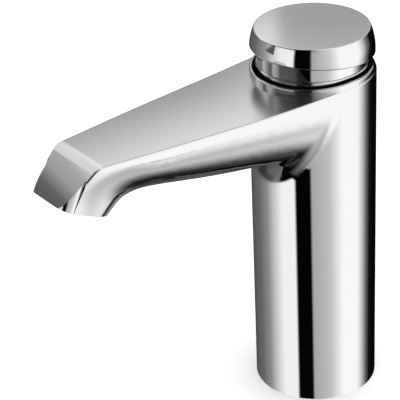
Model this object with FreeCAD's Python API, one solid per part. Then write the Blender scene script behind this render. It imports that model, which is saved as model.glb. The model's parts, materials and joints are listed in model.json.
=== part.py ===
import FreeCAD, Part
import math
import os

V = FreeCAD.Vector

# A self-closing basin tap. The column stands on Z with its base on z = 0, and the spout points to -Y.
# All sizes are in millimetres and all angles in degrees.

# Walls of the column and the steps between its bores, from the cartridge out
housing_wall = 3.0
neck_step = 1.5
channel_step = 2.0
holder_step = 2.0
mouth_step = 2.7
collar_wall = 1.3
foot_wall = 4.5

# Cavities, from the deck up
foot_cavity_top = 38.0
bridge_thickness = 22.0
inlet_chamber_r = 9.0
chamber_floor_gap = 8.0
cartridge_seat_height = 10.0
holder_bore_height = 9.0
mouth_depth = 11.3

# Top face: a level ruled face that sweeps up a little towards the column
top_slope_at_axis = 0.065
sweep_length = 40.0
spout_top_slope = 0.0
collar_height = 2.0
collar_step = 0.34
collar_round = 0.4
back_shoulder_r = 3.0
top_edge_r = 0.8

# Spout outline in plan: tangent to the column, then one long arc to the tip
plan_tangent_angle = 3.8
plan_arc_r = 1400.0
plan_inset_at_axis = 0.3

# Spout underside and its bend down into the outlet
spout_root_depth = 34.6
underside_slope = 0.177
bend_start = 86.0
bend_inner_r = 9.5
bend_angle = 45.0
beak_length = 20.0
section_power = 2.4
straight_sections = 4
root_fillet = 13.0

# Nose and outlet faces
nose_bend_y = 105.5
nose_angle = 42.0
nose_bend_r = 7.0
outlet_front_y = 119.5
outlet_angle = 27.9
outlet_corner_r = 4.5

# Waterway in the spout
spout_way_r = 3.8
spout_way_gap = 0.2

# Outlet insert
aerator_r = 8.0
aerator_setback = 2.0
aerator_depth = 6.5
aerator_feed_r = 5.0
aerator_feed_depth = 4.0
aerator_wall = 0.9
aerator_seal_thickness = 1.2
aerator_insert_thickness = 2.2
aerator_screen_thickness = 0.8
aerator_lip_height = 0.8
key_notch_width = 0.9
key_notch_depth = 0.8
key_notch_count = 6
screen_pitch = 1.5
screen_rim = 0.8
jet_r = 0.6
jet_count = 10

# Inlet and fixing stud
inlet_thread_r = 4.6
inlet_thread_length = 12.0
strainer_seat_r = 4.2
inlet_way_r = 3.4
inlet_offset = 7.0
strainer_thickness = 2.0
strainer_bar = 0.6
stud_r = 4.0
stud_chamfer = 0.6
stud_offset = 11.0
stud_grip = 15.0
stud_below_deck = 60.0
deck_gap = 20.0
clamp_inset = 2.5
clamp_slot = 15.0
clamp_pad_thickness = 3.0
clamp_plate_thickness = 2.5
fixing_nut_flats = 13.0
fixing_nut_height = 9.0
gasket_inner_step = 1.1
gasket_inset = 1.2
gasket_thickness = 1.5

# Button: the cap's lower edge is cut on a slant, higher on the spout's side
button_travel = 3.0
cap_height = 8.9
cap_flare = 1.8
cap_inset = 0.45
cap_edge_r = 0.5
cap_slant = 0.09
cap_low_round = 0.6
cap_gap = 2.7
cap_plate = 2.4
cap_bore_depth = 4.0
cap_boss_r = 6.0
nut_gap = 5.4
ring_side_gap = 1.4
ring_end_gap = 2.6
ring_chamfer = 0.4
ring_step = 0.5
skirt_height = 4.7
skirt_wall = 1.6
skirt_spigot_step = 1.0
skirt_spigot_rise = 2.4
seam_groove = 0.25

# Spindle and valve
spindle_r = 3.0
spindle_grip = 6.0
spindle_foot_r = 4.2
spindle_foot_height = 1.4
seat_clearance = 0.3
washer_r = 6.6
washer_thickness = 3.5
washer_screw_head_r = 5.0
washer_screw_head = 2.2
washer_screw_r = 1.5
washer_screw_reach = 3.4
seat_outer_r = 7.0
seat_inner_r = 4.8
seat_lip = 1.0
seat_crest = 0.6
seat_slope = 0.4
running_clearance = 0.05
spindle_nut_flats = 10.0
spindle_nut_height = 3.6

# Cartridge
housing_fit = 0.1
housing_floor = 4.0
flow_chamber_height = 12.0
partition_thickness = 4.0
window_width = 9.0
window_height = 5.0
window_count = 4
window_sill = 0.3
flange_thickness = 3.5
flange_seal_thickness = 1.0
seal_ring_r = 0.85
piston_r = 11.0
piston_side_gap = 0.5
piston_height = 9.0
piston_end_gap = 4.0
piston_wall = 0.6
piston_recess_depth = 6.0
piston_foot = 1.5
piston_seal_width = 3.0
piston_seal_depth = 1.2
seal_lip = 0.8
clip_thickness = 0.8
clip_gap = 0.3
clip_r = 4.6
clip_groove_depth = 0.6
clip_mouth = 3.0
spring_wire_r = 0.5
spring_side_gap = 1.2
spring_turns = 4.5
gland_head_step = 1.0
gland_head_height = 2.5
gland_skirt = 3.4
gland_nut_gap = 0.4
spindle_seal_r = 0.7
spindle_seal_gap = 0.15
timing_screw_r = 1.5
timing_screw_wall = 1.5
timing_screw_proud = 0.2
timing_screw_slot = 0.5
timing_screw_slot_depth = 0.8
spanner_slot = 3.0
spanner_slot_depth = 2.0
spanner_slot_length = 10.0
seal_side_gap = 0.3

# How far a cutting tool runs past what it cuts
overrun = 60.0

# Radii that follow from the sizes above
housing_bore_r = piston_r + piston_side_gap
housing_neck_r = housing_bore_r + housing_wall
cartridge_r = housing_neck_r + neck_step
ring_channel_r = cartridge_r + channel_step
holder_bore_r = ring_channel_r + holder_step
mouth_r = holder_bore_r + mouth_step
column_r = mouth_r + collar_wall
foot_cavity_r = column_r - foot_wall
gasket_inner_r = foot_cavity_r + gasket_inner_step
gasket_outer_r = column_r - gasket_inset
clamp_r = column_r - clamp_inset
ring_r = mouth_r - ring_side_gap
skirt_r = ring_r - ring_step
cap_belly_r = column_r - cap_inset
cap_top_r = cap_belly_r - cap_flare
piston_recess_r = piston_r - piston_seal_depth - piston_wall
spring_r = piston_recess_r - spring_side_gap - spring_wire_r
gland_head_r = housing_bore_r + gland_head_step
timing_screw_offset = housing_bore_r - timing_screw_wall - timing_screw_r
spindle_groove_r = spindle_r - clip_groove_depth

# Heights that follow from the sizes above
strainer_z = foot_cavity_top + inlet_thread_length
inlet_chamber_floor = foot_cavity_top + bridge_thickness
valve_face = (inlet_chamber_floor + chamber_floor_gap + button_travel
              + washer_screw_head + washer_thickness)
cartridge_z = valve_face + seat_clearance + seat_lip
ring_channel_z = cartridge_z + cartridge_seat_height
partition_z = cartridge_z + housing_floor + flow_chamber_height
timing_z = partition_z + partition_thickness
piston_z = timing_z + piston_end_gap + button_travel
piston_top = piston_z + piston_height
housing_top = piston_top + clip_thickness + clip_gap + gland_skirt
flange_z = housing_top - flange_thickness
holder_z = flange_z - flange_seal_thickness
mouth_z = holder_z + holder_bore_height
ring_bottom = mouth_z + ring_end_gap + button_travel
top_at_axis = mouth_z + mouth_depth
underside_at_axis = top_at_axis - spout_root_depth
spout_way_z = holder_z - spout_way_gap - spout_way_r
cap_low_z = top_at_axis + collar_height + cap_gap + button_travel
seam_z = cap_low_z - skirt_height
cap_top_z = cap_low_z + cap_height
cap_boss_bottom = housing_top + gland_head_height + nut_gap + button_travel + spindle_nut_height
spindle_top = cap_boss_bottom + spindle_grip
skirt_spigot_bottom = ring_bottom + skirt_spigot_rise
gland_middle = housing_top - gland_skirt / 2
groove_middle = cartridge_z + cartridge_seat_height / 2


def cylinder(radius, low, high, x=0.0, y=0.0):
    return Part.makeCylinder(radius, high - low, V(x, y, low))


def tube(outer, inner, low, high):
    return cylinder(outer, low, high).cut(cylinder(inner, low, high))


def lathe(points):
    """A solid turned round Z from (radius, height) points."""
    wire = Part.makePolygon([V(r, 0, z) for r, z in points + points[:1]])
    return Part.Face(wire).revolve(V(0, 0, 0), V(0, 0, 1), 360)


def seal_ring(radius, section_r, z):
    return Part.makeTorus(radius, section_r, V(0, 0, z))


def hexagon(flats, low, high, x=0.0, y=0.0):
    reach = flats / math.sqrt(3)
    turns = [math.radians(60 * i) for i in range(7)]
    corners = [V(x + reach * math.cos(turn), y + reach * math.sin(turn), low) for turn in turns]
    return Part.Face(Part.makePolygon(corners)).extrude(V(0, 0, high - low))


def spout_half_width(y):
    """Half the width of the spout at a distance in front of the axis."""
    tangent = math.radians(plan_tangent_angle)
    run = y - column_r * math.sin(tangent)
    return column_r * math.cos(tangent) - run * math.tan(tangent) - run * run / (2 * plan_arc_r)


def turned(shape, angle):
    """A copy of a shape turned about Z."""
    copy = shape.copy()
    copy.rotate(V(0, 0, 0), V(0, 0, 1), angle)
    return copy


def top_z(y):
    """Height of the top face at a distance in front of the axis."""
    if y <= 0:
        return top_at_axis
    if y < sweep_length:
        bend = (top_slope_at_axis - spout_top_slope) / (2 * sweep_length)
        return top_at_axis - top_slope_at_axis * y + bend * y * y
    mean = (top_slope_at_axis + spout_top_slope) / 2
    return top_at_axis - mean * sweep_length - spout_top_slope * (y - sweep_length)


def side_profile(points):
    """A block across the whole width whose side view is the given (distance in front, height) outline."""
    reach = 3 * column_r
    wire = Part.makePolygon([V(-reach, -y, z) for y, z in points + points[:1]])
    return Part.Face(wire).extrude(V(2 * reach, 0, 0))


def under_surface(rise):
    """Everything below the top face, lifted by rise."""
    reach = 3 * column_r
    front = outlet_front_y + overrun
    behind = column_r + overrun
    floor = -overrun
    start = V(-reach, 0, top_z(0) + rise)
    middle = V(-reach, -sweep_length / 2, top_z(sweep_length / 2) + rise)
    joint = V(-reach, -sweep_length, top_z(sweep_length) + rise)
    end = V(-reach, -front, top_z(front) + rise)
    back = V(-reach, behind, top_z(0) + rise)
    edges = [
        Part.LineSegment(back, start).toShape(),
        Part.Arc(start, middle, joint).toShape(),
        Part.LineSegment(joint, end).toShape(),
        Part.LineSegment(end, V(-reach, -front, floor)).toShape(),
        Part.LineSegment(V(-reach, -front, floor), V(-reach, behind, floor)).toShape(),
        Part.LineSegment(V(-reach, behind, floor), back).toShape(),
    ]
    return Part.Face(Part.Wire(edges)).extrude(V(2 * reach, 0, 0))


def nose_top():
    return top_z(nose_bend_y)


def nose_z(y):
    return nose_top() - (y - nose_bend_y) * math.tan(math.radians(nose_angle))


def outlet_z(y):
    return nose_z(outlet_front_y) - (outlet_front_y - y) * math.tan(math.radians(outlet_angle))


def section(y, z, lean, half_width, depth):
    """A U-shaped closed outline. Its bottom is at (y, z) and its plane leans forward by an angle."""
    lean = math.radians(lean)
    up = V(0, -math.sin(lean), math.cos(lean))
    bottom = V(0, -y, z)
    points = []
    steps = 12
    rise = overrun / 2
    for i in range(-steps, steps + 1):
        angle = math.pi / 2 * i / steps
        across = half_width * math.copysign(abs(math.sin(angle)) ** (2 / section_power), angle)
        down = depth * abs(math.cos(angle)) ** (2 / section_power)
        points.append(bottom + V(across, 0, 0) + up * (depth - down))
    curve = Part.BSplineCurve()
    curve.interpolate(points, InitialTangent=up * -depth, FinalTangent=up * depth)
    left_top = points[0] + up * rise
    right_top = points[-1] + up * rise
    return Part.Wire([
        Part.LineSegment(left_top, points[0]).toShape(),
        curve.toShape(),
        Part.LineSegment(points[-1], right_top).toShape(),
        Part.LineSegment(right_top, left_top).toShape(),
    ])


def spout_sections():
    wires = []
    for i in range(straight_sections + 1):
        y = bend_start * i / straight_sections
        z = underside_at_axis + underside_slope * y
        half_width = spout_half_width(y) if y > 0 else column_r - plan_inset_at_axis
        wires.append(section(y, z, 0.0, half_width, top_z(y) - z))
    centre_z = underside_at_axis + underside_slope * bend_start - bend_inner_r
    for part in (0.5, 1.0):
        angle = math.radians(bend_angle * part)
        y = bend_start + bend_inner_r * math.sin(angle)
        z = centre_z + bend_inner_r * math.cos(angle)
        wires.append(leaning_section(y, z, bend_angle * part))
    along = math.radians(bend_angle)
    for part in (0.5, 1.0):
        run = beak_length * part
        wires.append(leaning_section(y + run * math.cos(along), z - run * math.sin(along), bend_angle))
    return wires


def leaning_section(y, z, lean):
    """A section through the bend, as deep as the distance from its bottom to the nose or the top face."""
    sine = math.sin(math.radians(lean))
    cosine = math.cos(math.radians(lean))
    depth = 0.0
    while z + depth * cosine < min(top_z(y + depth * sine), nose_z(y + depth * sine)):
        depth += 0.1
    return section(y, z, lean, spout_half_width(y + depth * sine), depth)


def on_column(edge):
    """True for an edge where the spout's skin meets the column's side."""
    span = edge.LastParameter - edge.FirstParameter
    points = [edge.valueAt(edge.FirstParameter + span * i / 6) for i in range(7)]
    heights = [p.z for p in points]
    round_column = all(abs(math.hypot(p.x, p.y) - column_r) < 0.02 for p in points)
    in_front = all(p.y < -0.5 for p in points)
    return round_column and in_front and max(heights) - min(heights) > 2


def column_and_spout():
    spout = Part.makeLoft(spout_sections(), True, False)
    raw = spout.fuse(cylinder(column_r, 0, top_at_axis + overrun / 3))
    return raw.makeFillet(root_fillet, [edge for edge in raw.Edges if on_column(edge)])


def on_top_rim(edge):
    """True for an edge that lies in the top face."""
    span = edge.LastParameter - edge.FirstParameter
    points = [edge.valueAt(edge.FirstParameter + span * i / 4) for i in range(5)]
    return edge.Length > 1 and all(abs(p.z - top_z(-p.y)) < 0.02 for p in points)


def tip_cut():
    """What the nose face and the outlet face take away from the tip."""
    front = outlet_front_y + overrun
    top = nose_top() + overrun
    back = bend_start - overrun / 2
    low = outlet_z(back) - overrun
    return side_profile([
        (nose_bend_y - overrun / math.tan(math.radians(nose_angle)), top),
        (nose_bend_y, nose_top()),
        (outlet_front_y, nose_z(outlet_front_y)),
        (back, outlet_z(back)),
        (back, low),
        (front, low),
        (front, top),
    ])


def outlet_point(inward):
    """A point on the outlet's centre line, inward from the outlet face."""
    tilt = math.radians(outlet_angle)
    centre = (outlet_front_y + outlet_back_y()) / 2 - aerator_setback
    return V(0, -(centre - inward * math.sin(tilt)), outlet_z(centre) + inward * math.cos(tilt))


def outlet_back_y():
    """Where the outlet face meets the back of the beak."""
    angle = math.radians(bend_angle)
    y = bend_start + bend_inner_r * math.sin(angle)
    z = underside_at_axis + underside_slope * bend_start - bend_inner_r * (1 - math.cos(angle))
    while z > outlet_z(y):
        y += 0.05
        z -= 0.05 * math.tan(angle)
    return y


def outlet_axis():
    tilt = math.radians(outlet_angle)
    return V(0, math.sin(tilt), math.cos(tilt))


def outlet_cylinder(radius, low, high):
    """A round solid on the outlet's axis, between two distances inward from the outlet face."""
    return Part.makeCylinder(radius, high - low, outlet_point(low), outlet_axis())


def corner_trim(side):
    """Rounds one front corner of the outlet, upright to the outlet face."""
    half_width = spout_half_width(outlet_front_y)
    tilt = math.radians(outlet_angle)
    front = V(0, -outlet_front_y, nose_z(outlet_front_y))
    back = V(0, math.cos(tilt), -math.sin(tilt))
    axis = outlet_axis()
    outward = V(side, 0, 0)
    corner = front + outward * half_width - axis * (overrun / 2)
    centre = corner + (back - outward) * outlet_corner_r
    clear = 4 * outlet_corner_r
    block = Part.Face(Part.makePolygon([
        corner + (outward - back) * clear,
        corner - back * clear - outward * outlet_corner_r,
        centre - back * outlet_corner_r,
        centre,
        centre + outward * outlet_corner_r,
        corner + back * outlet_corner_r + outward * clear,
        corner + (outward - back) * clear,
    ])).extrude(axis * overrun)
    return block.cut(Part.makeCylinder(outlet_corner_r, overrun, centre, axis))


def collar():
    """The low wall round the button, its top parallel to the top face, with a soft shoulder at the back."""
    radius = column_r - collar_step
    low = holder_z
    solid = cylinder(radius, low, top_at_axis + overrun).common(under_surface(collar_height))
    right_half = Part.makeBox(column_r, 2 * column_r, top_at_axis + overrun - low, V(0, -column_r, low))
    half = solid.common(right_half)
    for edge in half.Edges:
        middle = edge.valueAt((edge.FirstParameter + edge.LastParameter) / 2)
        if middle.y > 1 and middle.z > top_at_axis and abs(math.hypot(middle.x, middle.y) - radius) < 0.02:
            back_first = edge.valueAt(edge.FirstParameter).y > middle.y
            radii = (back_shoulder_r, collar_round) if back_first else (collar_round, back_shoulder_r)
            half = half.makeFillet(radii[0], radii[1], [edge])
            break
    return half.fuse(half.mirror(V(0, 0, 0), V(1, 0, 0)))


def tap_body():
    """One casting: column, spout, beak and collar, with the cavities for water, valve and fixings."""
    body = column_and_spout().common(under_surface(0)).cut(tip_cut())
    bend = [edge for edge in body.Edges if edge.Length > 5 and all(
        abs(v.Point.y + nose_bend_y) < 0.01 and abs(v.Point.z - nose_top()) < 0.01 for v in edge.Vertexes)]
    body = body.makeFillet(nose_bend_r, bend)
    body = body.makeFillet(top_edge_r, [edge for edge in body.Edges if on_top_rim(edge)])
    body = body.cut(corner_trim(-1)).cut(corner_trim(1))
    body = body.fuse(collar())
    hollows = [
        cylinder(foot_cavity_r, 0, foot_cavity_top),
        base_gasket(),
        cylinder(inlet_thread_r, foot_cavity_top, strainer_z, y=inlet_offset),
        cylinder(strainer_seat_r, foot_cavity_top, strainer_z + strainer_thickness, y=inlet_offset),
        cylinder(inlet_way_r, foot_cavity_top, inlet_chamber_floor, y=inlet_offset),
        cylinder(stud_r, foot_cavity_top, foot_cavity_top + stud_grip, y=-stud_offset),
        cylinder(inlet_chamber_r, inlet_chamber_floor, cartridge_z),
        cylinder(cartridge_r + housing_fit, cartridge_z, ring_channel_z),
        cylinder(ring_channel_r, ring_channel_z, holder_z),
        cylinder(holder_bore_r, holder_z, mouth_z),
        cylinder(mouth_r, mouth_z, top_at_axis + overrun),
        spout_way(),
        outlet_cylinder(aerator_r, -aerator_setback - aerator_r, aerator_depth),
        outlet_cylinder(aerator_feed_r, 0, aerator_depth + aerator_feed_depth),
    ]
    for hollow in hollows:
        body = body.cut(hollow)
    return body


def spout_way():
    """The water channel from the valve chamber to the outlet."""
    start = V(0, -housing_neck_r, spout_way_z)
    way = outlet_point(aerator_depth + aerator_feed_depth / 2) - start
    return Part.makeCylinder(spout_way_r, way.Length, start, way)


def base_gasket():
    return tube(gasket_outer_r, gasket_inner_r, 0, gasket_thickness)


def inlet_strainer():
    """A ring with three crossed bars, seated behind the inlet's thread."""
    low = strainer_z
    cup = tube(strainer_seat_r, inlet_way_r - strainer_bar, low, low + strainer_thickness)
    bar = Part.makeBox(2 * inlet_way_r, strainer_bar, strainer_thickness / 2,
                       V(-inlet_way_r, -strainer_bar / 2, low))
    for angle in (0, 60, 120):
        cup = cup.fuse(turned(bar, angle))
    cup.translate(V(0, inlet_offset, 0))
    return cup.removeSplitter()


def fixing_stud():
    stud = cylinder(stud_r, -stud_below_deck, foot_cavity_top + stud_grip, y=-stud_offset)
    ends = [edge for edge in stud.Edges if edge.Length < 7 * stud_r and edge.BoundBox.ZLength < 0.01]
    return stud.makeChamfer(stud_chamfer, ends)


def clamp(low, thickness):
    """A horseshoe that the stud passes through and the hose can enter from behind."""
    plate = cylinder(clamp_r, low, low + thickness)
    slot = Part.makeBox(clamp_slot, 2 * clamp_r, thickness, V(-clamp_slot / 2, -clamp_slot / 4, low))
    return plate.cut(slot).cut(cylinder(stud_r, low, low + thickness, y=-stud_offset))


def clamp_pad():
    return clamp(-deck_gap - clamp_pad_thickness, clamp_pad_thickness)


def clamp_plate():
    return clamp(-deck_gap - clamp_pad_thickness - clamp_plate_thickness, clamp_plate_thickness)


def fixing_nut():
    high = -deck_gap - clamp_pad_thickness - clamp_plate_thickness
    low = high - fixing_nut_height
    nut = hexagon(fixing_nut_flats, low, high, y=-stud_offset)
    return nut.cut(cylinder(stud_r, low, high, y=-stud_offset))


def cartridge_housing():
    """The fixed sleeve: a foot with the seat, a flow chamber with windows, and the timing chamber above."""
    foot_top = ring_channel_z
    radius = cartridge_r + housing_fit - 2 * seal_ring_r
    shell = lathe([
        (seat_outer_r, cartridge_z),
        (cartridge_r, cartridge_z),
        (cartridge_r, groove_middle - seal_ring_r),
        (radius, groove_middle - seal_ring_r),
        (radius, groove_middle + seal_ring_r),
        (cartridge_r, groove_middle + seal_ring_r),
        (cartridge_r, foot_top),
        (housing_neck_r, foot_top),
        (housing_neck_r, flange_z),
        (holder_bore_r - housing_fit, flange_z),
        (holder_bore_r - housing_fit, housing_top),
        (housing_bore_r, housing_top),
        (housing_bore_r, timing_z),
        (spindle_r + running_clearance, timing_z),
        (spindle_r + running_clearance, partition_z),
        (housing_bore_r, partition_z),
        (housing_bore_r, cartridge_z + housing_floor),
        (seat_outer_r, cartridge_z + housing_floor),
    ])
    window = Part.makeBox(cartridge_r, window_width, window_height,
                          V(seat_outer_r, -window_width / 2, foot_top + window_sill))
    for i in range(window_count):
        shell = shell.cut(turned(window, 360 * (i + 0.5) / window_count))
    return shell


def housing_seal():
    return seal_ring(cartridge_r + housing_fit - seal_ring_r, seal_ring_r, groove_middle)


def flange_seal():
    return tube(holder_bore_r - housing_fit, ring_channel_r + seal_side_gap, holder_z, flange_z)


def valve_seat():
    return lathe([
        (seat_inner_r, cartridge_z - seat_lip),
        (seat_inner_r + seat_crest, cartridge_z - seat_lip),
        (seat_inner_r + seat_crest + seat_slope, cartridge_z),
        (seat_outer_r, cartridge_z),
        (seat_outer_r, cartridge_z + housing_floor),
        (seat_inner_r, cartridge_z + housing_floor),
    ])


def gland_bush():
    """Closes the timing chamber and guides the spindle, with a groove for the spindle's seal."""
    low = housing_top - gland_skirt
    groove_r = spindle_r + spindle_seal_gap + 2 * spindle_seal_r
    inner = spindle_r + running_clearance
    bush = lathe([
        (inner, low),
        (housing_bore_r, low),
        (housing_bore_r, housing_top),
        (gland_head_r, housing_top),
        (gland_head_r, housing_top + gland_head_height),
        (inner, housing_top + gland_head_height),
        (inner, gland_middle + spindle_seal_r),
        (groove_r, gland_middle + spindle_seal_r),
        (groove_r, gland_middle - spindle_seal_r),
        (inner, gland_middle - spindle_seal_r),
    ])
    return bush.cut(cylinder(timing_screw_r, low, housing_top + gland_head_height, x=timing_screw_offset))


def spindle_seal():
    return seal_ring(spindle_r + spindle_seal_gap + spindle_seal_r, spindle_seal_r, gland_middle)


def timing_screw():
    """A slotted metering screw in the gland, which sets how long the water runs."""
    high = housing_top + gland_head_height + timing_screw_proud
    screw = cylinder(timing_screw_r, housing_top - gland_skirt, high, x=timing_screw_offset)
    corner = V(timing_screw_offset - timing_screw_r, -timing_screw_slot / 2, high - timing_screw_slot_depth)
    return screw.cut(Part.makeBox(2 * timing_screw_r, timing_screw_slot, timing_screw_slot_depth, corner))


def retaining_nut():
    """The threaded ring that clamps the cartridge, with two slots for a pin spanner."""
    ring = tube(holder_bore_r, gland_head_r + gland_nut_gap, housing_top, mouth_z)
    slot = Part.makeBox(spanner_slot_length, spanner_slot, spanner_slot_depth,
                        V(gland_head_r, -spanner_slot / 2, mouth_z - spanner_slot_depth))
    return ring.cut(slot).cut(turned(slot, 180))


def outlet_ring(outer, inner, low, high):
    ring = outlet_cylinder(outer, low, high)
    return ring.cut(outlet_cylinder(inner, low, high)) if inner else ring


def in_outlet(shape, inward):
    """Lays a shape made round Z on the outlet's axis, inward from the outlet face."""
    shape.rotate(V(0, 0, 0), V(1, 0, 0), -outlet_angle)
    shape.translate(outlet_point(inward))
    return shape


def aerator_shell():
    """The threaded insert, with notches in its rim for the key that turns it."""
    high = aerator_depth - aerator_seal_thickness
    shell = outlet_ring(aerator_r, aerator_r - aerator_wall, 0, high)
    lip = outlet_ring(aerator_r - aerator_wall, aerator_r - 2 * aerator_wall, 0, aerator_lip_height)
    shell = shell.fuse(lip)
    notch = Part.makeBox(key_notch_width, 2 * aerator_wall, 2 * key_notch_depth,
                         V(-key_notch_width / 2, aerator_r - 1.5 * aerator_wall, -key_notch_depth))
    for i in range(key_notch_count):
        shell = shell.cut(in_outlet(turned(notch, 360 * (i + 0.5) / key_notch_count), 0))
    return shell.removeSplitter()


def aerator_screen():
    """A fine grille of slots, at the mouth of the insert."""
    low = aerator_lip_height
    radius = aerator_r - aerator_wall
    screen = outlet_ring(radius, 0, low, low + aerator_screen_thickness)
    width = 0.6 * screen_pitch
    count = int((radius - screen_rim) / screen_pitch)
    for i in range(-count, count + 1):
        across = i * screen_pitch
        half = math.sqrt((radius - screen_rim) ** 2 - across ** 2)
        slot = Part.makeBox(width, 2 * half, aerator_screen_thickness, V(across - width / 2, -half, 0))
        screen = screen.cut(in_outlet(slot, low))
    return screen


def aerator_insert():
    """The jet plate behind the grille, with a ring of small bores."""
    low = aerator_lip_height + aerator_screen_thickness
    insert = outlet_ring(aerator_r - aerator_wall, 0, low, low + aerator_insert_thickness)
    bore = cylinder(jet_r, 0, aerator_insert_thickness, x=0.6 * aerator_r)
    for i in range(jet_count):
        insert = insert.cut(in_outlet(turned(bore, 360 * i / jet_count), low))
    return insert


def aerator_seal():
    low = aerator_depth - aerator_seal_thickness
    return outlet_ring(aerator_r, aerator_feed_r + seal_side_gap, low, aerator_depth)


def below_slant():
    """Everything under the slanted plane of the cap's lower edge."""
    reach = column_r + overrun
    low = cap_low_z - overrun
    return side_profile([
        (-reach, cap_low_z - cap_slant * reach),
        (reach, cap_low_z + cap_slant * reach),
        (reach, low),
        (-reach, low),
    ])


def push_cap():
    """The button's cap: flat on top, flaring in an arc, with a slanted and rounded lower edge."""
    plate_z = cap_top_z - cap_plate
    bore_top = cap_low_z + cap_bore_depth
    deepest = cap_low_z - cap_slant * 2 * cap_belly_r
    side_r = (cap_flare ** 2 + cap_height ** 2) / (2 * cap_flare)
    half_turn = math.asin(cap_height / side_r) / 2
    side_top = V(cap_top_r, 0, cap_top_z)
    middle_r = cap_belly_r - side_r * (1 - math.cos(half_turn))
    side_middle = V(middle_r, 0, cap_low_z + side_r * math.sin(half_turn))
    side_low = V(cap_belly_r, 0, cap_low_z)
    rest = [
        side_low,
        V(cap_belly_r, 0, deepest),
        V(skirt_r, 0, deepest),
        V(skirt_r, 0, bore_top),
        V(skirt_r - skirt_wall, 0, bore_top),
        V(skirt_r - skirt_wall, 0, plate_z),
        V(cap_boss_r, 0, plate_z),
        V(cap_boss_r, 0, cap_boss_bottom),
        V(spindle_r, 0, cap_boss_bottom),
        V(spindle_r, 0, spindle_top),
        V(0, 0, spindle_top),
        V(0, 0, cap_top_z),
        side_top,
    ]
    outline = [Part.Arc(side_top, side_middle, side_low).toShape()]
    outline += [Part.LineSegment(a, b).toShape() for a, b in zip(rest, rest[1:])]
    cap = Part.Face(Part.Wire(outline)).revolve(V(0, 0, 0), V(0, 0, 1), 360)
    shell = cylinder(column_r, deepest, cap_top_z).cut(cylinder(cap_boss_r, deepest, cap_top_z))
    cap = cap.cut(below_slant().common(shell))
    cap = cap.makeFillet(cap_low_round, [edge for edge in cap.Edges if on_cap_low_edge(edge)])
    near_top = cap_top_z - running_clearance
    rim = [edge for edge in cap.Edges if edge.BoundBox.ZMin > near_top and edge.Length > cap_top_r]
    return cap.makeFillet(cap_edge_r, rim)


def on_cap_low_edge(edge):
    """True for an edge where the slanted plane leaves the cap's outer side."""
    middle = edge.valueAt((edge.FirstParameter + edge.LastParameter) / 2)
    on_plane = abs(middle.z - cap_low_z + cap_slant * middle.y) < 0.01
    return on_plane and math.hypot(middle.x, middle.y) > cap_belly_r - 0.5 and edge.Length > 1


def button_skirt():
    """The sleeve under the cap, with a spigot below for the skirt ring."""
    high = cap_low_z + cap_bore_depth
    inner = skirt_r - skirt_wall
    spigot = skirt_r - skirt_spigot_step
    return lathe([
        (inner, high),
        (skirt_r, high),
        (skirt_r, seam_z + seam_groove),
        (skirt_r - seam_groove, seam_z),
        (spigot, seam_z),
        (spigot, skirt_spigot_bottom),
        (inner, skirt_spigot_bottom),
    ])


def skirt_ring():
    spigot = skirt_r - skirt_spigot_step
    return lathe([
        (spigot, seam_z),
        (ring_r - seam_groove, seam_z),
        (ring_r, seam_z - seam_groove),
        (ring_r, ring_bottom + ring_chamfer),
        (ring_r - ring_chamfer, ring_bottom),
        (spigot, ring_bottom),
    ])


def spindle():
    foot_top = valve_face + spindle_foot_height
    bar = lathe([
        (0, valve_face + washer_screw_reach),
        (washer_screw_r, valve_face + washer_screw_reach),
        (washer_screw_r, valve_face),
        (spindle_foot_r, valve_face),
        (spindle_foot_r, foot_top),
        (spindle_r, foot_top),
        (spindle_r, spindle_top),
        (0, spindle_top),
    ])
    return bar.cut(tube(clip_r, spindle_groove_r, piston_top, piston_top + clip_thickness))


def valve_washer():
    return tube(washer_r, washer_screw_r, valve_face - washer_thickness, valve_face)


def washer_screw():
    head_top = valve_face - washer_thickness
    head = hexagon(washer_screw_head_r * math.sqrt(3), head_top - washer_screw_head, head_top)
    return head.fuse(cylinder(washer_screw_r, head_top, valve_face + washer_screw_reach)).removeSplitter()


def timing_piston():
    """A plastic piston with a recess below for the spring and a groove for its lip seal."""
    groove_top = piston_z + piston_foot + piston_seal_width
    groove_r = piston_r - piston_seal_depth
    return lathe([
        (groove_r, piston_z),
        (groove_r, groove_top),
        (piston_r, groove_top),
        (piston_r, piston_top),
        (spindle_r, piston_top),
        (spindle_r, piston_z + piston_recess_depth),
        (piston_recess_r, piston_z + piston_recess_depth),
        (piston_recess_r, piston_z),
    ])


def piston_seal():
    """A lip seal that hugs the timing chamber's wall."""
    low = piston_z + piston_foot
    inner = piston_r - piston_seal_depth
    outer = housing_bore_r - running_clearance
    return lathe([
        (inner, low),
        (inner + seal_lip / 2, low),
        (outer - seal_lip / 2, low - seal_lip),
        (outer, low - 0.75 * seal_lip),
        (outer - seal_side_gap, low + piston_seal_width),
        (inner, low + piston_seal_width),
    ])


def piston_clip():
    """A spring clip in the spindle's groove, open on one side."""
    clip = tube(clip_r, spindle_groove_r, piston_top, piston_top + clip_thickness)
    return clip.cut(Part.makeBox(clip_r, clip_mouth, clip_thickness, V(0, -clip_mouth / 2, piston_top)))


def spindle_nut():
    high = cap_boss_bottom
    nut = hexagon(spindle_nut_flats, high - spindle_nut_height, high)
    return nut.cut(cylinder(spindle_r, high - spindle_nut_height, high))


def return_spring():
    """A wound compression spring between the partition and the piston."""
    low = timing_z + spring_wire_r
    high = piston_z + piston_recess_depth - spring_wire_r
    pitch = (high - low) / spring_turns
    helix = Part.makeHelix(pitch, high - low, spring_r)
    helix.translate(V(0, 0, low))
    start = V(spring_r, 0, low)
    along = V(0, 1, pitch / (2 * math.pi * spring_r))
    profile = Part.Wire([Part.Circle(start, along, spring_wire_r).toShape()])
    return Part.Wire(helix.Edges).makePipeShell([profile], True, True)


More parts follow.
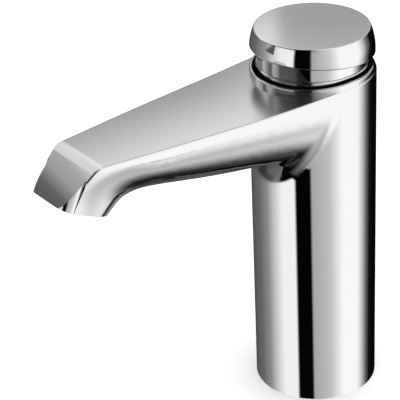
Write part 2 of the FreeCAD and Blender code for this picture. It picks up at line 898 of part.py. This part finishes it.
def main():
    pieces = {
        "tap_body": tap_body,
        "base_gasket": base_gasket,
        "inlet_strainer": inlet_strainer,
        "fixing_stud": fixing_stud,
        "clamp_pad": clamp_pad,
        "clamp_plate": clamp_plate,
        "fixing_nut": fixing_nut,
        "cartridge_housing": cartridge_housing,
        "housing_seal": housing_seal,
        "flange_seal": flange_seal,
        "valve_seat": valve_seat,
        "gland_bush": gland_bush,
        "spindle_seal": spindle_seal,
        "timing_screw": timing_screw,
        "retaining_nut": retaining_nut,
        "aerator_shell": aerator_shell,
        "aerator_screen": aerator_screen,
        "aerator_insert": aerator_insert,
        "aerator_seal": aerator_seal,
        "push_cap": push_cap,
        "button_skirt": button_skirt,
        "skirt_ring": skirt_ring,
        "spindle": spindle,
        "valve_washer": valve_washer,
        "washer_screw": washer_screw,
        "timing_piston": timing_piston,
        "piston_seal": piston_seal,
        "piston_clip": piston_clip,
        "spindle_nut": spindle_nut,
        "return_spring": return_spring,
    }
    os.makedirs("parts", exist_ok=True)
    for name, make in pieces.items():
        shape = make()
        shape.exportStep("parts/" + name + ".step")
        print(name, "valid", shape.isValid(), "solids", len(shape.Solids), "volume", round(shape.Volume, 1))


if __name__ == "__main__":
    main()
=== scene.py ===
import json
import math

import bmesh
import bpy
from mathutils import Matrix, Vector


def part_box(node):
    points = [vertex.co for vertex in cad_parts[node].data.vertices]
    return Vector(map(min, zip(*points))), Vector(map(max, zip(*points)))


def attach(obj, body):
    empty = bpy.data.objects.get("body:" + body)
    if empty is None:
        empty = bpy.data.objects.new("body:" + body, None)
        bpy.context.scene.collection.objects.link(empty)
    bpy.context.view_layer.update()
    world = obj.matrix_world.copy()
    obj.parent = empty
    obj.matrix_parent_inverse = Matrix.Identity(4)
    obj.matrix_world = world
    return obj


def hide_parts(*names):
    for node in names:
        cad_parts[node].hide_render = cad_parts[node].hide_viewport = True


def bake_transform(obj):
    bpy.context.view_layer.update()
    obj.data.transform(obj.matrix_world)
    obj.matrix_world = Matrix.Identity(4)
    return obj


bl_info = {
    "name": "Self-closing basin tap",
    "version": (1, 0, 0),
    "blender": (4, 5, 0),
    "location": "View3D > Sidebar > Tap",
    "description": "Finishes, fine pieces and studio of a chromed self-closing basin tap",
    "category": "Object",
}

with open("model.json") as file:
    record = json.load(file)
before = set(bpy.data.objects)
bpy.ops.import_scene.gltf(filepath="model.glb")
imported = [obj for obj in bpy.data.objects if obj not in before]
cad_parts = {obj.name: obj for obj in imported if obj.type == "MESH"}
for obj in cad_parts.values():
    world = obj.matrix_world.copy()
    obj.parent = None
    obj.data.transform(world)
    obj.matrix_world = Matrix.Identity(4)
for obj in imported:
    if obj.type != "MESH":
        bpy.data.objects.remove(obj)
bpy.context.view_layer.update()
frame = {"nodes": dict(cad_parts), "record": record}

MM = 0.001
FULL_TURN = 2 * math.pi

# The upward part of a buffed surface's normal: satin starts at the first and is full at the second.
SATIN_RANGE = (0.74, 0.99)

# The part of a noise's values over which a look changes, and how much rougher the haze makes a mirror.
HAZE_RANGE = (0.35, 0.7)
CLOUD_RANGE = (0.3, 0.7)
TARNISH_RANGE = (0.4, 0.75)
BLOOM_RANGE = (0.45, 0.8)
HAZE_GAIN = 2.2

# Sizes of patches, and depths of the finest relief.
CASTING_GRAIN = 1.2 * MM
TARNISH_PATCH = 6 * MM
BLOOM_PATCH = 9 * MM
CLOUD_PATCH = 5 * MM
PLATING_EDGE = 0.02 * MM
TURNING_DEPTH = 0.004 * MM
RUBBER_DEPTH = 0.03 * MM
ACETAL_DEPTH = 0.01 * MM
DRAWING_DEPTH = 0.003 * MM
DRAWN_STRETCH = (1, 1, 0.05)

# A thread's outline over one pitch, as (height on the flank, part of the pitch).
THREAD_OUTLINE = ((0, 0.0), (0, 0.12), (1, 0.44), (1, 0.56), (0, 0.88), (0, 1.0))
MERGE_DISTANCE = 0.01 * MM
CAD_MERGE_DISTANCE = 0.005 * MM
FLAT_ANGLE = math.radians(1)
SHARP_ANGLE = math.radians(30)
LEVEL_TOLERANCE = 0.1 * MM
RIM_PART = 0.85
ROUNDED_SEGMENTS = 3

# What the chrome mirrors, in bands of (azimuth in degrees, sRGB level) corners from the floor up.
GROUND = (
    (0, 110), (6, 10), (50, 6), (66, 25), (102, 60), (130, 20), (160, 30), (200, 30), (225, 20),
    (260, 90), (330, 100), (359.9, 110))
LOW_WALLS = (
    (0, 20), (10, 4), (33, 4), (37, 60), (60, 105), (90, 150), (130, 185), (160, 225), (200, 215),
    (220, 120), (240, 60), (270, 45), (300, 60), (330, 80), (342, 116), (354, 112), (359.9, 20))
WALLS = (
    (0, 240), (25, 240), (29, 4), (55, 4), (59, 165), (75, 178), (91, 192), (116, 248), (148, 246),
    (160, 190), (172, 100), (183, 20), (198, 6), (252, 6), (260, 70), (276, 84), (300, 100), (324, 138),
    (348, 213), (359.9, 240))
LEVEL_WALLS = (
    (0, 235), (25, 240), (29, 4), (56, 4), (60, 165), (91, 200), (110, 246), (150, 246), (162, 199),
    (174, 114), (188, 12), (240, 8), (256, 40), (270, 78), (300, 104), (330, 150), (359.9, 235))
HIGH_WALLS = (
    (0, 60), (25, 40), (29, 4), (56, 4), (60, 120), (102, 235), (150, 240), (200, 150), (240, 190),
    (262, 215), (305, 205), (320, 100), (350, 70), (359.9, 60))

# Each band with the elevations in degrees between which it takes over from the one below it.
STUDIO_BANDS = ((-68, -50, LOW_WALLS), (-45, -35, WALLS), (-20, -10, LEVEL_WALLS), (12, 20, HIGH_WALLS))

# Softboxes close to the tap, with the azimuth and distance of each one's plane, its ends along the
# plane, its heights, how far its shading leans along the plane, and its stops of (distance along the
# shading, sRGB level). Lengths are in metres.
SOFTBOXES = (
    ("cap_softbox", 235.5, 0.10, (-0.08, 0.006), (0.15, 0.27), 0.0, (
        (0.150, 170), (0.176, 165), (0.190, 135), (0.206, 160), (0.224, 192), (0.270, 215))),
    ("spout_softbox", 235.5, 0.10, (0.006, 0.15), (0.15, 0.27), 0.343, (
        (0.150, 115), (0.159, 132), (0.165, 145), (0.173, 172), (0.182, 220), (0.200, 240))),
    ("nose_softbox", 290.5, 0.12, (0.085, 0.15), (0.14, 0.21), 2.2 / 3, (
        (0.055, 80), (0.064, 96), (0.071, 155), (0.0765, 165), (0.0805, 192), (0.090, 210))),
)
SENSOR_WIDTH = 36.0
NEAREST_SEEN = 10 * MM


def linear(hex_colour):
    """An sRGB hex colour as linear red, green, blue and alpha."""
    parts = [int(hex_colour[i:i + 2], 16) / 255 for i in (1, 3, 5)]
    return [p / 12.92 if p <= 0.04045 else ((p + 0.055) / 1.055) ** 2.4 for p in parts] + [1.0]


def grey(level):
    """A neutral sRGB level from 0 to 255, as linear light."""
    return linear("#" + 3 * format(round(level), "02x"))


def heading(azimuth):
    """The level direction of an azimuth in degrees: 0 is along the spout, and 90 is towards +X."""
    return Vector((math.sin(math.radians(azimuth)), -math.cos(math.radians(azimuth)), 0))


def colour_property(name, description, hex_colour):
    """A colour with an sRGB hex default."""
    return bpy.props.FloatVectorProperty(
        name=name, description=description, subtype="COLOR", size=3, min=0, max=1,
        default=linear(hex_colour)[:3])


def length_property(name, description, default):
    """A length in metres."""
    return bpy.props.FloatProperty(
        name=name, description=description, subtype="DISTANCE", unit="LENGTH", min=0, precision=5,
        default=default)


class TapFinishSettings(bpy.types.PropertyGroup):
    chrome_colour: colour_property("Chrome", "Colour that the plating gives to what it mirrors", "#d2d2d3")
    # Painted shade: this very dark brass colour stands in for the shade inside the mouth, as well as for
    # the unplated casting.
    bore_colour_and_shade: colour_property("Raw casting", "Unplated brass inside the column", "#3a2f22")
    brass_colour: colour_property("Brass", "Turned brass of the valve", "#c9a35e")
    rubber_colour: colour_property("Rubber", "Nitrile rubber of the seals", "#1b1b1c")
    acetal_colour: colour_property("Acetal", "Moulded plastic of the piston and jet plate", "#e4e1d8")
    steel_colour: colour_property("Steel", "Stainless steel of the fixings and spring", "#b9b7b2")
    mirror_roughness: bpy.props.FloatProperty(
        name="Mirror roughness", description="Roughness of the buffed sides", default=0.02, min=0, max=1)
    satin_roughness: bpy.props.FloatProperty(
        name="Satin roughness", description="Roughness of the ground flat tops", default=0.22, min=0, max=1)
    mouth_radius: length_property("Mouth radius", "Inside radius of the collar", 22.75 * MM)
    buffing_grain: length_property("Buffing grain", "Size of the haze left by the buffing wheel", 11 * MM)
    turning_pitch: length_property("Turning pitch", "Feed of the lathe tool on brass", 0.35 * MM)
    moulding_grain: length_property("Moulding grain", "Grain of moulded rubber and plastic", 0.6 * MM)
    drawing_grain: length_property("Drawing grain", "Width of the lines left by drawing steel", 0.25 * MM)


class TapFixingSettings(bpy.types.PropertyGroup):
    thread_pitch: length_property("Thread pitch", "Pitch of the M8 stud", 1.25 * MM)
    thread_depth: length_property("Thread depth", "Depth of the stud's thread", 0.65 * MM)
    thread_sides: bpy.props.IntProperty(
        name="Thread sides", description="Faces round one turn of the thread", default=28, min=8)
    nut_edge: length_property("Nut edge", "Width of the chamfer on the nut's rims", 0.7 * MM)
    plate_edge: length_property("Plate edge", "Width of the rounded edges of the clamp plate", 0.35 * MM)
    pad_edge: length_property("Pad edge", "Width of the rounded edges of the clamp pad", 0.7 * MM)


class TapStageSettings(bpy.types.PropertyGroup):
    floor_size: length_property("Floor size", "Half the side of the pale floor", 3.0)
    floor_colour: colour_property("Floor", "Pale floor round the tap", "#f8f8f8")
    studio_strength: bpy.props.FloatProperty(
        name="Studio strength", description="Brightness of what the chrome mirrors", default=1.55, min=0)
    studio_turn: bpy.props.FloatProperty(
        name="Studio turn", description="Turn of the softboxes about the tap", subtype="ANGLE",
        default=math.radians(-9.5))
    fill_strength: bpy.props.FloatProperty(
        name="Fill strength", description="Brightness of the even light on the floor and dull pieces",
        default=1.4, min=0)
    focal_length: bpy.props.FloatProperty(
        name="Focal length", description="Lens of the camera for a 36 mm wide sensor", default=167.58,
        min=1, unit="CAMERA")
    camera_place: bpy.props.FloatVectorProperty(
        name="Camera place", description="Where the camera stands", subtype="XYZ", unit="LENGTH", size=3,
        default=(0.48845, -0.40265, 0.4296))
    camera_azimuth: bpy.props.FloatProperty(
        name="Camera azimuth", description="Turn of the view about the column", subtype="ANGLE",
        default=math.radians(54.5))
    camera_elevation: bpy.props.FloatProperty(
        name="Camera elevation", description="How far the view looks down", subtype="ANGLE",
        default=math.radians(29.01))
    camera_roll: bpy.props.FloatProperty(
        name="Camera roll", description="Lean of the camera", subtype="ANGLE",
        default=math.radians(-2.58))


def add_node(tree, kind, settings=None, inputs=None):
    """Adds a node. Settings are its properties, and inputs are constants or sockets to link."""
    node = tree.nodes.new(kind)
    for name, value in (settings or {}).items():
        setattr(node, name, value)
    for name, value in (inputs or {}).items():
        if isinstance(value, bpy.types.NodeSocket):
            tree.links.new(value, node.inputs[name])
        else:
            node.inputs[name].default_value = value
    return node


def calculate(tree, operation, *values):
    """The result of a Math node."""
    inputs = dict(enumerate(values))
    return add_node(tree, "ShaderNodeMath", {"operation": operation}, inputs).outputs[0]


def map_range(tree, value, low, high, to_low=0.0, to_high=1.0, smooth=True):
    """A value moved from one range to another, and held at its ends."""
    kind = {"interpolation_type": "SMOOTHSTEP" if smooth else "LINEAR"}
    return add_node(tree, "ShaderNodeMapRange", kind, {
        "Value": value, "From Min": low, "From Max": high,
        "To Min": to_low, "To Max": to_high}).outputs[0]


def mix_colour(tree, factor, first, second):
    """The first colour at a factor of 0, and the second at 1."""
    kind = {"data_type": "RGBA"}
    return add_node(tree, "ShaderNodeMix", kind, {0: factor, 6: first, 7: second}).outputs[2]


def mix_value(tree, factor, first, second):
    """The first number at a factor of 0, and the second at 1."""
    kind = {"data_type": "FLOAT"}
    return add_node(tree, "ShaderNodeMix", kind, {0: factor, 2: first, 3: second}).outputs[0]


def ramp(tree, factor, stops):
    """A straight-line colour ramp of (position, sRGB level) stops."""
    node = add_node(tree, "ShaderNodeValToRGB", inputs={"Fac": factor})
    elements = node.color_ramp.elements
    node.color_ramp.interpolation = "LINEAR"
    elements.remove(elements[-1])
    elements[0].position = stops[0][0]
    elements[0].color = grey(stops[0][1])
    for position, level in stops[1:]:
        elements.new(position).color = grey(level)
    return node.outputs["Color"]


def new_material(name):
    """A material with an empty node tree."""
    material = bpy.data.materials.new(name)
    material.use_nodes = True
    material.node_tree.nodes.clear()
    return material, material.node_tree


def surface(tree, inputs):
    """A Principled surface wired to the output."""
    shader = add_node(tree, "ShaderNodeBsdfPrincipled", inputs=inputs)
    add_node(tree, "ShaderNodeOutputMaterial", inputs={"Surface": shader.outputs["BSDF"]})


def object_place(tree):
    """Object coordinates, in metres."""
    return add_node(tree, "ShaderNodeTexCoord").outputs["Object"]


def noise(tree, place, size, detail=3.0):
    """Noise whose features have a real size in metres."""
    return add_node(tree, "ShaderNodeTexNoise", inputs={
        "Vector": place, "Scale": 1 / size, "Detail": detail}).outputs["Fac"]


def bump(tree, height, depth):
    """A bump normal from a height of 0 to 1 and its real depth in metres."""
    return add_node(tree, "ShaderNodeBump", inputs={
        "Height": height, "Distance": depth, "Strength": 1.0}).outputs["Normal"]


def colour(value):
    """A colour property's value with an alpha."""
    return list(value) + [1.0]


def buffed_roughness(tree, place, settings):
    """Mirror sides with a little buffing haze, and satin on what faces up."""
    haze = noise(tree, place, settings.buffing_grain)
    smooth = settings.mirror_roughness
    mirror = map_range(tree, haze, *HAZE_RANGE, smooth, HAZE_GAIN * smooth)
    normal = add_node(tree, "ShaderNodeTexCoord").outputs["Normal"]
    upward = add_node(tree, "ShaderNodeSeparateXYZ", inputs={0: normal}).outputs["Z"]
    flat = map_range(tree, upward, *SATIN_RANGE)
    return mix_value(tree, flat, mirror, settings.satin_roughness)


def polished_chrome(settings):
    """Bright chromium plate on turned brass: a near mirror, satin where the tops are ground flat."""
    material, tree = new_material("polished_chrome")
    place = object_place(tree)
    surface(tree, {"Base Color": colour(settings.chrome_colour), "Metallic": 1.0,
                   "Roughness": buffed_roughness(tree, place, settings)})
    return material


def chromed_casting(settings):
    """Chromium plate on a cast body, which is unplated brass inside the mouth and the foot, coloured very
    dark there: partly the unplated brass's own dull tone and partly painted shade for the gap round the
    button.
    """
    material, tree = new_material("chromed_casting")
    place = object_place(tree)
    split = add_node(tree, "ShaderNodeSeparateXYZ", inputs={0: place})
    radius = calculate(tree, "SQRT", calculate(
        tree, "ADD", calculate(tree, "POWER", split.outputs["X"], 2.0),
        calculate(tree, "POWER", split.outputs["Y"], 2.0)))
    edge = settings.mouth_radius
    # Painted shade: everything nearer the axis than the mouth's wall gets the very dark colour, which
    # stands in for the shade in the gap and the bore as well as for the unplated brass there.
    inside = map_range(tree, radius, edge - PLATING_EDGE, edge, 1.0, 0.0, smooth=False)
    grain = noise(tree, place, CASTING_GRAIN)
    unplated_brass_and_shade = mix_colour(tree, grain, colour(settings.bore_colour_and_shade), linear("#17120d"))
    surface(tree, {
        "Base Color": mix_colour(tree, inside, colour(settings.chrome_colour), unplated_brass_and_shade),
        "Metallic": mix_value(tree, inside, 1.0, 0.3),
        "Roughness": mix_value(tree, inside, buffed_roughness(tree, place, settings), 0.75),
    })
    return material


def turned_brass(settings):
    """Free-cutting brass off the lathe: fine rings round the axis and a warm, slightly worn shine."""
    material, tree = new_material("turned_brass")
    place = object_place(tree)
    split = add_node(tree, "ShaderNodeSeparateXYZ", inputs={0: place})
    phase = calculate(tree, "MULTIPLY", split.outputs["Z"], FULL_TURN / settings.turning_pitch)
    rings = map_range(tree, calculate(tree, "SINE", phase), -1.0, 1.0, smooth=False)
    tarnish = noise(tree, place, TARNISH_PATCH)
    dull = map_range(tree, tarnish, *TARNISH_RANGE)
    surface(tree, {
        "Base Color": mix_colour(tree, dull, colour(settings.brass_colour), linear("#a8803f")),
        "Metallic": 1.0,
        "Roughness": map_range(tree, tarnish, *CLOUD_RANGE, 0.2, 0.38),
        "Normal": bump(tree, rings, TURNING_DEPTH),
    })
    return material


def nitrile_rubber(settings):
    """Moulded black nitrile rubber: dull, with a fine grain and a faint grey bloom."""
    material, tree = new_material("nitrile_rubber")
    place = object_place(tree)
    bloom = noise(tree, place, BLOOM_PATCH)
    pale = map_range(tree, bloom, *BLOOM_RANGE)
    surface(tree, {
        "Base Color": mix_colour(tree, pale, colour(settings.rubber_colour), linear("#2c2c2e")),
        "Roughness": map_range(tree, bloom, *CLOUD_RANGE, 0.5, 0.68),
        "Normal": bump(tree, noise(tree, place, settings.moulding_grain), RUBBER_DEPTH),
    })
    return material


def moulded_acetal(settings):
    """Natural acetal: milky white, waxy and slightly translucent."""
    material, tree = new_material("moulded_acetal")
    place = object_place(tree)
    cloud = noise(tree, place, CLOUD_PATCH)
    surface(tree, {
        "Base Color": mix_colour(tree, cloud, colour(settings.acetal_colour), linear("#d8d4c8")),
        "Roughness": map_range(tree, cloud, *CLOUD_RANGE, 0.3, 0.42),
        "Subsurface Weight": 0.15,
        "Subsurface Radius": (0.6 * MM, 0.5 * MM, 0.4 * MM),
        "Normal": bump(tree, noise(tree, place, settings.moulding_grain), ACETAL_DEPTH),
    })
    return material


def drawn_steel(settings):
    """Bright drawn stainless steel: fine lines along Z and a soft shine."""
    material, tree = new_material("drawn_steel")
    place = object_place(tree)
    along = {"Vector": place, "Scale": DRAWN_STRETCH}
    stretched = add_node(tree, "ShaderNodeMapping", inputs=along).outputs[0]
    lines = noise(tree, stretched, settings.drawing_grain)
    surface(tree, {
        "Base Color": mix_colour(tree, lines, colour(settings.steel_colour), linear("#a09e99")),
        "Metallic": 1.0,
        "Roughness": map_range(tree, lines, *CLOUD_RANGE, 0.18, 0.34),
        "Normal": bump(tree, lines, DRAWING_DEPTH),
    })
    return material


def nodes_of(slot):
    """The CAD nodes that the record gives to a material slot."""
    return [row["node"] for row in frame["record"]["subparts"] if row["material_slot"] == slot]


def give_finish(names, material):
    """Gives CAD nodes a material."""
    for name in names:
        node = frame["nodes"][name]
        node.data.materials.clear()
        node.data.materials.append(material)


class TAP_OT_chrome(bpy.types.Operator):
    """Plates the casting, the button and the outlet insert"""
    bl_idname = "tap.chrome"
    bl_label = "Chrome"

    def execute(self, context):
        settings = context.scene.tap_finish
        give_finish(nodes_of("polished_chrome"), polished_chrome(settings))
        give_finish(["tap_body"], chromed_casting(settings))
        return {"FINISHED"}


class TAP_OT_brass(bpy.types.Operator):
    """Gives the valve's turned pieces their brass"""
    bl_idname = "tap.brass"
    bl_label = "Turned brass"

    def execute(self, context):
        give_finish(nodes_of("turned_brass"), turned_brass(context.scene.tap_finish))
        return {"FINISHED"}


class TAP_OT_rubber(bpy.types.Operator):
    """Gives the seals and pads their rubber"""
    bl_idname = "tap.rubber"
    bl_label = "Rubber"

    def execute(self, context):
        give_finish(nodes_of("seal_rubber"), nitrile_rubber(context.scene.tap_finish))
        return {"FINISHED"}


class TAP_OT_acetal(bpy.types.Operator):
    """Gives the piston and the jet plate their plastic"""
    bl_idname = "tap.acetal"
    bl_label = "Acetal"

    def execute(self, context):
        give_finish(nodes_of("acetal"), moulded_acetal(context.scene.tap_finish))
        return {"FINISHED"}


class TAP_OT_steel(bpy.types.Operator):
    """Gives the fixings, the spring and the strainer their steel"""
    bl_idname = "tap.steel"
    bl_label = "Stainless steel"

    def execute(self, context):
        give_finish(nodes_of("stainless_steel"), drawn_steel(context.scene.tap_finish))
        return {"FINISHED"}


def add_object(name, shape, material=None):
    """Makes an object of a bmesh, at the origin, and frees the bmesh."""
    mesh = bpy.data.meshes.new(name)
    shape.to_mesh(mesh)
    shape.free()
    piece = bpy.data.objects.new(name, mesh)
    bpy.context.scene.collection.objects.link(piece)
    if material is not None:
        mesh.materials.append(material)
    return piece


def close_end(shape, height, outward):
    """Cuts a shape off level at a height and closes the cut."""
    geometry = shape.verts[:] + shape.edges[:] + shape.faces[:]
    cut = bmesh.ops.bisect_plane(shape, geom=geometry, plane_co=(0, 0, height),
                                 plane_no=(0, 0, outward), clear_outer=True)
    edges = [item for item in cut["geom_cut"] if isinstance(item, bmesh.types.BMEdge)]
    bmesh.ops.contextual_create(shape, geom=edges)


def thread_shape(centre, radius, low, high, settings):
    """A rod with a real helical thread, cut off level at both ends."""
    pitch = settings.thread_pitch
    turns = math.ceil((high - low) / pitch) + 2
    root = radius - settings.thread_depth
    start = low - 1.5 * pitch
    shape = bmesh.new()
    verts = [shape.verts.new((centre.x + root + flank * (radius - root), centre.y, start + part * pitch))
             for flank, part in THREAD_OUTLINE]
    edges = [shape.edges.new(pair) for pair in zip(verts, verts[1:])]
    sides = settings.thread_sides
    bmesh.ops.spin(shape, geom=verts + edges, cent=centre, axis=(0, 0, 1), dvec=(0, 0, pitch / sides),
                   angle=FULL_TURN, steps=sides, use_merge=False)
    one_turn = shape.verts[:] + shape.edges[:] + shape.faces[:]
    for turn in range(1, turns):
        copy = bmesh.ops.duplicate(shape, geom=one_turn)["geom"]
        raised = [item for item in copy if isinstance(item, bmesh.types.BMVert)]
        bmesh.ops.translate(shape, verts=raised, vec=(0, 0, turn * pitch))
    bmesh.ops.remove_doubles(shape, verts=shape.verts, dist=MERGE_DISTANCE)
    close_end(shape, high, 1)
    close_end(shape, low, -1)
    bmesh.ops.recalc_face_normals(shape, faces=shape.faces)
    return shape


class TAP_OT_stud(bpy.types.Operator):
    """Cuts the thread of the fixing stud"""
    bl_idname = "tap.stud"
    bl_label = "Fixing stud"

    def execute(self, context):
        low, high = (Vector(corner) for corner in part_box("fixing_stud"))
        middle = (low + high) / 2
        centre = Vector((middle.x, middle.y, 0))
        shape = thread_shape(centre, (high.x - low.x) / 2, low.z, high.z, context.scene.tap_fixing)
        stud = add_object("threaded_stud", shape, frame["nodes"]["fixing_stud"].data.materials[0])
        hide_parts("fixing_stud")
        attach(stud, "tap")
        return {"FINISHED"}


def softened(node, width, segments, keep_edge):
    """A copy of a CAD node's mesh with some of its sharp edges rounded."""
    shape = bmesh.new()
    shape.from_mesh(frame["nodes"][node].data)
    bmesh.ops.remove_doubles(shape, verts=shape.verts, dist=CAD_MERGE_DISTANCE)
    bmesh.ops.dissolve_limit(shape, angle_limit=FLAT_ANGLE, verts=shape.verts, edges=shape.edges,
                             use_dissolve_boundaries=False)
    sharp = [edge for edge in shape.edges
             if len(edge.link_faces) == 2 and edge.calc_face_angle() > SHARP_ANGLE and keep_edge(edge)]
    bmesh.ops.bevel(shape, geom=sharp, offset=width, segments=segments, profile=0.5, affect="EDGES",
                    material=-1, clamp_overlap=True)
    return shape


def replace_softened(node, name, width, segments, keep_edge=lambda edge: True):
    """Puts a rounded copy in the place of a fixed CAD node."""
    shape = softened(node, width, segments, keep_edge)
    piece = add_object(name, shape, frame["nodes"][node].data.materials[0])
    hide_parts(node)
    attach(piece, "tap")


class TAP_OT_clamp(bpy.types.Operator):
    """Rounds the nut, the clamp plate and its pad under the deck"""
    bl_idname = "tap.clamp"
    bl_label = "Clamp and nut"

    def execute(self, context):
        settings = context.scene.tap_fixing
        low, high = (Vector(corner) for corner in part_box("fixing_nut"))
        middle = (low + high) / 2
        reach = (high.y - low.y) / 2

        def on_rim(edge):
            far = all((vert.co - middle).xy.length > RIM_PART * reach for vert in edge.verts)
            return far and abs(edge.verts[0].co.z - edge.verts[1].co.z) < LEVEL_TOLERANCE

        replace_softened("fixing_nut", "chamfered_nut", settings.nut_edge, 1, on_rim)
        replace_softened("clamp_plate", "pressed_clamp_plate", settings.plate_edge, ROUNDED_SEGMENTS)
        replace_softened("clamp_pad", "moulded_clamp_pad", settings.pad_edge, ROUNDED_SEGMENTS)
        return {"FINISHED"}


class TAP_OT_spring(bpy.types.Operator):
    """Copies the return spring's CAD mesh into a new object and hides the CAD part"""
    bl_idname = "tap.spring"
    bl_label = "Return spring"

    def execute(self, context):
        node = frame["nodes"]["return_spring"]
        shape = bmesh.new()
        shape.from_mesh(node.data)
        spring = add_object("wound_spring", shape, node.data.materials[0])
        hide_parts("return_spring")
        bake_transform(spring)
        return {"FINISHED"}


def glow(name, strength, direction, stops):
    """A glow whose sRGB level changes along a direction, at stops in metres."""
    material, tree = new_material(name)
    dot = add_node(tree, "ShaderNodeVectorMath", {"operation": "DOT_PRODUCT"}, {
        0: object_place(tree), 1: direction})
    first, last = stops[0][0], stops[-1][0]
    part = map_range(tree, dot.outputs["Value"], first, last, smooth=False)
    light = ramp(tree, part, [((stop - first) / (last - first), level) for stop, level in stops])
    emission = add_node(tree, "ShaderNodeEmission", inputs={"Color": light, "Strength": strength})
    add_node(tree, "ShaderNodeOutputMaterial", inputs={"Surface": emission.outputs[0]})
    return material


def make_softboxes(settings):
    """Standing cards that shade the tap's flat tops and its nose, and show only in what mirrors them."""
    upward = Vector((0, 0, 1))
    for name, azimuth, distance, ends, heights, lean, stops in SOFTBOXES:
        foot = heading(azimuth) * distance
        side = upward.cross(heading(azimuth)).normalized()
        shape = bmesh.new()
        for run in ends:
            for height in heights:
                shape.verts.new(foot + side * run + upward * height)
        bmesh.ops.contextual_create(shape, geom=shape.verts)
        shading = (upward - lean * side).normalized()
        card = add_object(name, shape, glow(name, settings.studio_strength, shading, stops))
        card.visible_camera = False
        card.visible_diffuse = False
        card.visible_shadow = False
        card.visible_transmission = False


def rise(tree, height, low, high):
    """0 below one elevation in degrees, 1 above another."""
    return map_range(tree, height, math.sin(math.radians(low)), math.sin(math.radians(high)))


def studio_band(tree, turn, levels):
    """One band of softboxes and flags round the tap, as (azimuth in degrees, sRGB level) corners."""
    return ramp(tree, turn, [(azimuth / 360, level) for azimuth, level in levels])


def make_world(settings):
    """Even white light, and softboxes and black flags that only glossy surfaces mirror."""
    world = bpy.data.worlds.new("studio")
    bpy.context.scene.world = world
    world.use_nodes = True
    tree = world.node_tree
    tree.nodes.clear()
    split = add_node(tree, "ShaderNodeSeparateXYZ", inputs={
        0: add_node(tree, "ShaderNodeTexCoord").outputs["Generated"]})
    ahead = calculate(tree, "MULTIPLY", split.outputs["Y"], -1.0)
    angle = calculate(tree, "ARCTAN2", split.outputs["X"], ahead)
    turned = calculate(tree, "SUBTRACT", angle, settings.studio_turn)
    turn = calculate(tree, "FRACT", calculate(tree, "DIVIDE", turned, FULL_TURN))
    height = split.outputs["Z"]
    light = studio_band(tree, turn, GROUND)
    for low, high, levels in STUDIO_BANDS:
        light = mix_colour(tree, rise(tree, height, low, high), light, studio_band(tree, turn, levels))
    shiny = add_node(tree, "ShaderNodeBackground", inputs={
        "Color": light, "Strength": settings.studio_strength})
    plain = add_node(tree, "ShaderNodeBackground", inputs={
        "Color": linear("#ffffff"), "Strength": settings.fill_strength})
    path = add_node(tree, "ShaderNodeLightPath")
    mixed = add_node(tree, "ShaderNodeMixShader", inputs={
        0: path.outputs["Is Glossy Ray"], 1: plain.outputs[0], 2: shiny.outputs[0]})
    add_node(tree, "ShaderNodeOutputWorld", inputs={"Surface": mixed.outputs[0]})


def make_floor(settings):
    """A plain pale floor that the chrome doesn't mirror."""
    shape = bmesh.new()
    bmesh.ops.create_grid(shape, x_segments=1, y_segments=1, size=settings.floor_size)
    material, tree = new_material("floor")
    surface(tree, {"Base Color": colour(settings.floor_colour), "Roughness": 0.8})
    floor = add_object("floor", shape, material)
    floor.visible_glossy = False


def make_camera(settings):
    """The camera at the photo's angle."""
    scene = bpy.context.scene
    camera = bpy.data.objects.new("camera", bpy.data.cameras.new("camera"))
    scene.collection.objects.link(camera)
    level = heading(math.degrees(settings.camera_azimuth)) * math.cos(settings.camera_elevation)
    back = level + Vector((0, 0, math.sin(settings.camera_elevation)))
    right = (-back).cross(Vector((0, 0, 1))).normalized()
    up = right.cross(-back)
    lean = settings.camera_roll
    across = math.cos(lean) * right + math.sin(lean) * up
    upward = -math.sin(lean) * right + math.cos(lean) * up
    turned = Matrix((across, upward, back)).transposed().to_4x4()
    camera.matrix_world = Matrix.Translation(settings.camera_place) @ turned
    camera.data.sensor_width = SENSOR_WIDTH
    camera.data.lens = settings.focal_length
    camera.data.clip_start = NEAREST_SEEN
    scene.camera = camera


class TAP_OT_stage(bpy.types.Operator):
    """Lays the floor and sets the studio light and the camera"""
    bl_idname = "tap.stage"
    bl_label = "Stage"

    def execute(self, context):
        settings = context.scene.tap_stage
        make_floor(settings)
        make_world(settings)
        make_softboxes(settings)
        make_camera(settings)
        context.scene.view_settings.view_transform = "Standard"
        return {"FINISHED"}


operators = (TAP_OT_chrome, TAP_OT_brass, TAP_OT_rubber, TAP_OT_acetal, TAP_OT_steel, TAP_OT_stud,
             TAP_OT_clamp, TAP_OT_spring, TAP_OT_stage)


class TAP_PT_panel(bpy.types.Panel):
    bl_idname = "TAP_PT_panel"
    bl_label = "Basin tap"
    bl_space_type = "VIEW_3D"
    bl_region_type = "UI"
    bl_category = "Tap"

    def draw(self, context):
        layout = self.layout
        for group in (context.scene.tap_finish, context.scene.tap_fixing, context.scene.tap_stage):
            column = layout.column()
            for name in group.__annotations__:
                column.prop(group, name)
        for operator in operators:
            layout.operator(operator.bl_idname)


classes = (TapFinishSettings, TapFixingSettings, TapStageSettings) + operators + (TAP_PT_panel,)


def register():
    for item in classes:
        bpy.utils.register_class(item)
    bpy.types.Scene.tap_finish = bpy.props.PointerProperty(type=TapFinishSettings)
    bpy.types.Scene.tap_fixing = bpy.props.PointerProperty(type=TapFixingSettings)
    bpy.types.Scene.tap_stage = bpy.props.PointerProperty(type=TapStageSettings)


def unregister():
    del bpy.types.Scene.tap_stage
    del bpy.types.Scene.tap_fixing
    del bpy.types.Scene.tap_finish
    for item in reversed(classes):
        bpy.utils.unregister_class(item)


def main():
    register()
    bpy.ops.tap.chrome()
    bpy.ops.tap.brass()
    bpy.ops.tap.rubber()
    bpy.ops.tap.acetal()
    bpy.ops.tap.steel()
    bpy.ops.tap.stud()
    bpy.ops.tap.clamp()
    bpy.ops.tap.spring()
    bpy.ops.tap.stage()


if __name__ == "__main__":
    main()
